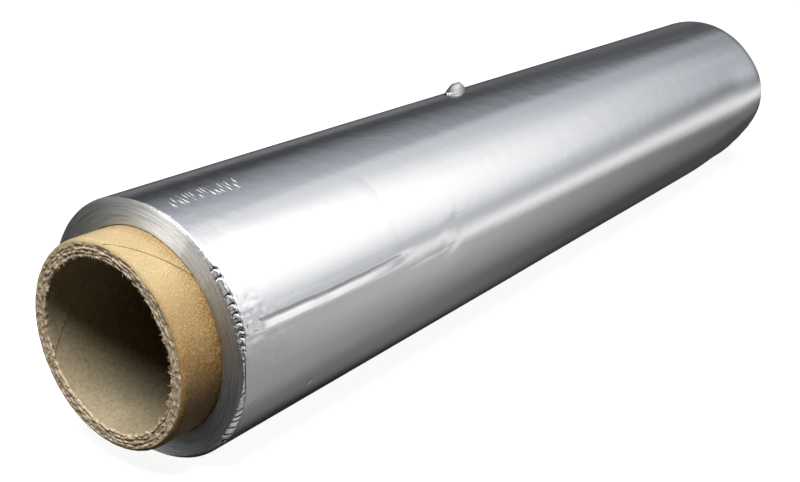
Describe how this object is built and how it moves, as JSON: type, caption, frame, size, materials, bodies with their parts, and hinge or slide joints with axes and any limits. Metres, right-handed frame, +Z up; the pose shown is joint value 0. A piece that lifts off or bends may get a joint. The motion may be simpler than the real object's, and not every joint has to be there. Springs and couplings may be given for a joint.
{
  "type": "aluminium foil roll",
  "caption": "Roll of kitchen aluminium foil wound on a cardboard tube that stands out at both ends; lies on its side and is carried by the tube's bore.",
  "frame": {"origin": "on the floor under the middle of the roll, which lies on its side on its small flat", "axes": "+X along the roll, from the near end with the crushed rim to the far end; +Z up; the sheet's free edge is at the front, -Y"},
  "size_m": [0.3204, 0.0583, 0.0601],
  "materials": {
    "foil": "polished",
    "core_board": "matte"
  },
  "bodies": {
    "root": {"foil": "foil", "cardboard_core": "core_board"}
  },
  "joints": []
}
